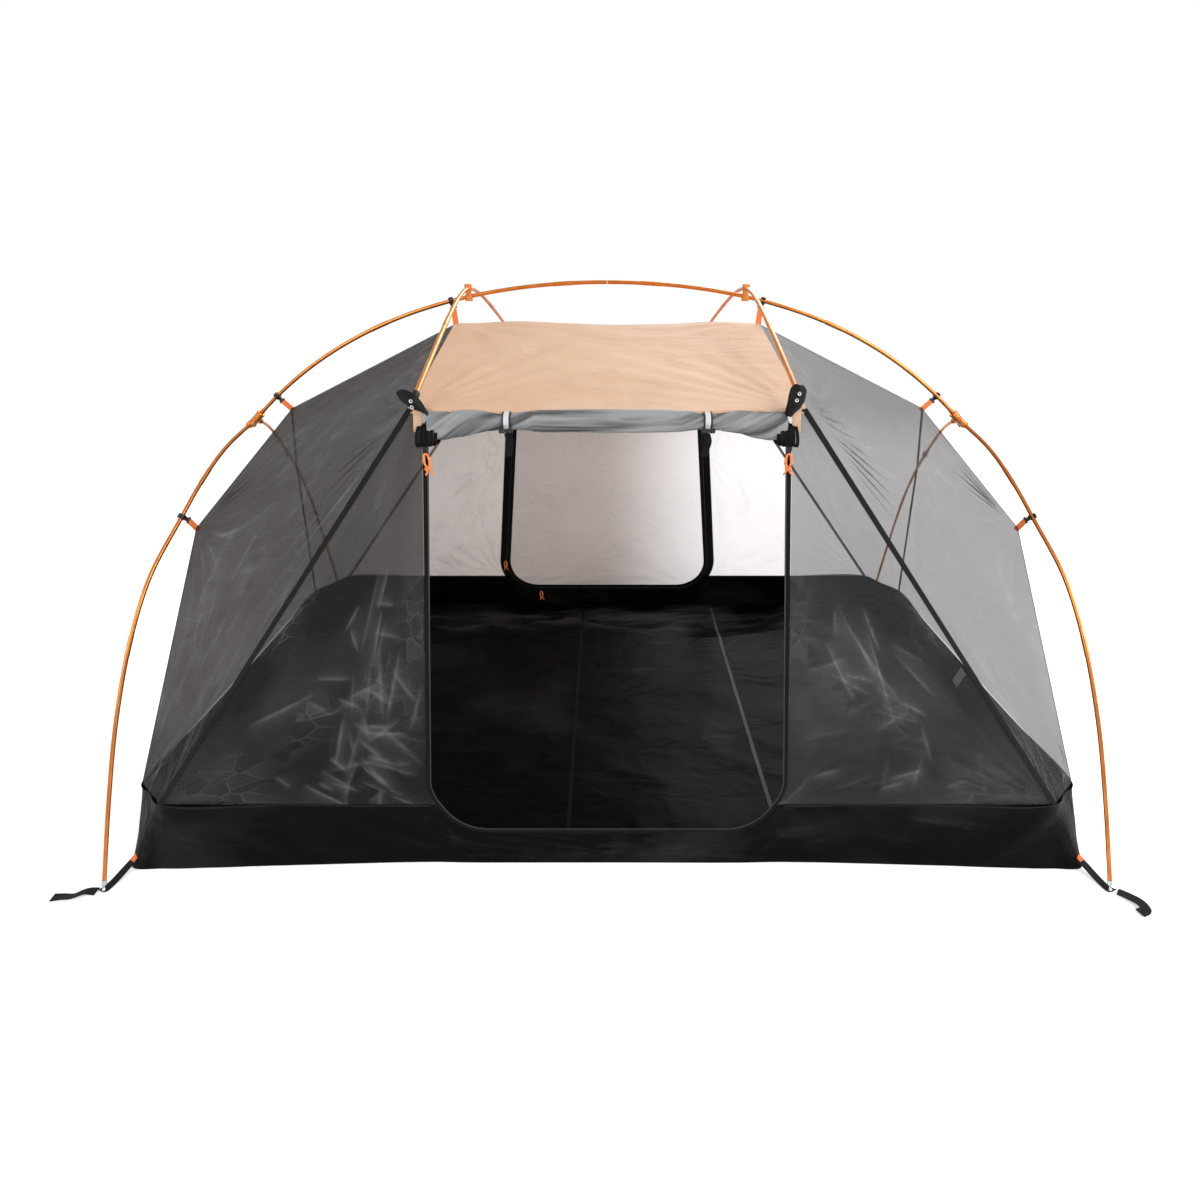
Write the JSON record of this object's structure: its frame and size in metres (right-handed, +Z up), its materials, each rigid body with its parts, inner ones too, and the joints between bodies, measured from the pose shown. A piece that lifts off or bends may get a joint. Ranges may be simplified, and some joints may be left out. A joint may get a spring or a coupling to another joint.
{
  "type": "dome tent",
  "caption": "Low two-person mesh dome tent, pitched without a fly: bent ridge pole on hubs with legs, cross poles at the eaves, bathtub floor and two zipped doors.",
  "frame": {"origin": "middle of the floor's underside, on the ground", "axes": "+X along the tent, +Y from the front door to the rear door, +Z up"},
  "size_m": [2.3136, 1.4876, 1.1659],
  "materials": {
    "orange_pole": "satin",
    "orange_fitting": "satin",
    "tip_metal": "polished",
    "clip_plastic": "satin",
    "pocket_fabric": "matte",
    "tub_fabric": "satin",
    "roof_fabric": "matte",
    "netting": "matte",
    "zip_tape": "matte",
    "tie_webbing": "matte",
    "toggle_plastic": "satin",
    "slider_metal": "satin",
    "pull_cord": "matte",
    "black_webbing": "matte"
  },
  "bodies": {
    "tent": {"bathtub_floor": "tub_fabric", "roof_panel": "roof_fabric", "end_mesh_left": "netting", "front_mesh_left": "netting", "shoulder_mesh_front_left": "netting", "rear_mesh_left": "netting", "shoulder_mesh_rear_left": "netting", "end_mesh_right": "netting", "front_mesh_right": "netting", "shoulder_mesh_front_right": "netting", "rear_mesh_right": "netting", "shoulder_mesh_rear_right": "netting", "front_zip_track": "zip_tape", "rear_zip_track": "zip_tape", "front_door_roll": "netting", "roll_tie_left": "tie_webbing", "roll_tie_right": "tie_webbing", "ridge_pole_left": "orange_pole", "hub_left": "orange_fitting", "cross_pole_left": "orange_pole", "swivel_connector_left": "orange_fitting", "leg_pole_front_left": "orange_pole", "pole_tip_front_left": "tip_metal", "leg_pole_rear_left": "orange_pole", "pole_tip_rear_left": "tip_metal", "ridge_pole_right": "orange_pole", "hub_right": "orange_fitting", "cross_pole_right": "orange_pole", "swivel_connector_right": "orange_fitting", "leg_pole_front_right": "orange_pole", "pole_tip_front_right": "tip_metal", "leg_pole_rear_right": "orange_pole", "pole_tip_rear_right": "tip_metal", "roof_clip_left": "clip_plastic", "hub_clip_left": "clip_plastic", "leg_clip_front_left": "clip_plastic", "eave_pocket_front_left": "pocket_fabric", "leg_clip_rear_left": "clip_plastic", "eave_pocket_rear_left": "pocket_fabric", "roof_clip_right": "clip_plastic", "hub_clip_right": "clip_plastic", "leg_clip_front_right": "clip_plastic", "eave_pocket_front_right": "pocket_fabric", "leg_clip_rear_right": "clip_plastic", "eave_pocket_rear_right": "pocket_fabric"},
    "rear_door": {"rear_door": "netting"},
    "zip_slider_front_left": {"zip_slider_front_left": "slider_metal"},
    "zip_pull_front_left": {"zip_pull_front_left": "pull_cord"},
    "zip_slider_front_right": {"zip_slider_front_right": "slider_metal"},
    "zip_pull_front_right": {"zip_pull_front_right": "pull_cord"},
    "zip_slider_rear_side": {"zip_slider_rear_side": "slider_metal"},
    "zip_pull_rear_side": {"zip_pull_rear_side": "pull_cord"},
    "zip_slider_rear_bottom": {"zip_slider_rear_bottom": "slider_metal"},
    "zip_pull_rear_bottom": {"zip_pull_rear_bottom": "pull_cord"},
    "roll_toggle_left": {"roll_toggle_left": "toggle_plastic"},
    "roll_toggle_right": {"roll_toggle_right": "toggle_plastic"},
    "stake_loop_front_left": {"stake_loop_front_left": "black_webbing"},
    "stake_loop_rear_left": {"stake_loop_rear_left": "black_webbing"},
    "stake_loop_front_right": {"stake_loop_front_right": "black_webbing"},
    "stake_loop_rear_right": {"stake_loop_rear_right": "black_webbing"}
  },
  "joints": [
    {"name": "front_left_zip_slide", "type": "slide", "parent": "tent", "child": "zip_slider_front_left", "axis": [-0.1084, -0.0094, -0.9941], "range_m": [0, 0.7]},
    {"name": "front_left_pull_swing", "type": "hinge", "parent": "zip_slider_front_left", "child": "zip_pull_front_left", "pos_m": [-0.30479, -0.60248, 0.91356], "axis": [-1, 0, 0], "range_deg": [0, 80]},
    {"name": "front_right_zip_slide", "type": "slide", "parent": "tent", "child": "zip_slider_front_right", "axis": [0.1084, -0.0094, -0.9941], "range_m": [0, 0.7]},
    {"name": "front_right_pull_swing", "type": "hinge", "parent": "zip_slider_front_right", "child": "zip_pull_front_right", "pos_m": [0.30479, -0.60248, 0.91356], "axis": [-1, 0, 0], "range_deg": [0, 80]},
    {"name": "rear_side_zip_slide", "type": "slide", "parent": "tent", "child": "zip_slider_rear_side", "axis": [0.1084, -0.0094, 0.9941], "range_m": [0, 0.7]},
    {"name": "rear_side_pull_swing", "type": "hinge", "parent": "zip_slider_rear_side", "child": "zip_pull_rear_side", "pos_m": [-0.38218, 0.5996, 0.20356], "axis": [-1, 0, 0], "range_deg": [0, 80]},
    {"name": "rear_bottom_zip_slide", "type": "slide", "parent": "tent", "child": "zip_slider_rear_bottom", "axis": [1, 0, 0], "range_m": [0, 0.5]},
    {"name": "rear_bottom_pull_swing", "type": "hinge", "parent": "zip_slider_rear_bottom", "child": "zip_pull_rear_bottom", "pos_m": [-0.255, 0.61334, 0.07084], "axis": [-1, 0, 0], "range_deg": [0, 80]},
    {"name": "rear_door_swing", "type": "hinge", "parent": "tent", "child": "rear_door", "pos_m": [0, 0.597, 0.983], "axis": [1, 0, 0], "range_deg": [0, 85]},
    {"name": "roll_toggle_left_turn", "type": "hinge", "parent": "tent", "child": "roll_toggle_left", "pos_m": [-0.164, -0.6242, 0.956], "axis": [0, 1, 0], "range_deg": [-80, 80]},
    {"name": "roll_toggle_right_turn", "type": "hinge", "parent": "tent", "child": "roll_toggle_right", "pos_m": [0.164, -0.6242, 0.956], "axis": [0, 1, 0], "range_deg": [-80, 80]},
    {"name": "stake_loop_front_left_lift", "type": "hinge", "parent": "tent", "child": "stake_loop_front_left", "pos_m": [-1.08755, -0.71751, 0.0013], "axis": [-0.251, 0.968, 0], "range_deg": [0, 85]},
    {"name": "stake_loop_front_right_lift", "type": "hinge", "parent": "tent", "child": "stake_loop_front_right", "pos_m": [1.08755, -0.71751, 0.0013], "axis": [-0.251, -0.968, 0], "range_deg": [0, 85]},
    {"name": "stake_loop_rear_left_lift", "type": "hinge", "parent": "tent", "child": "stake_loop_rear_left", "pos_m": [-1.08755, 0.71751, 0.0013], "axis": [0.251, 0.968, 0], "range_deg": [0, 85]},
    {"name": "stake_loop_rear_right_lift", "type": "hinge", "parent": "tent", "child": "stake_loop_rear_right", "pos_m": [1.08755, 0.71751, 0.0013], "axis": [0.251, -0.968, 0], "range_deg": [0, 85]}
  ]
}
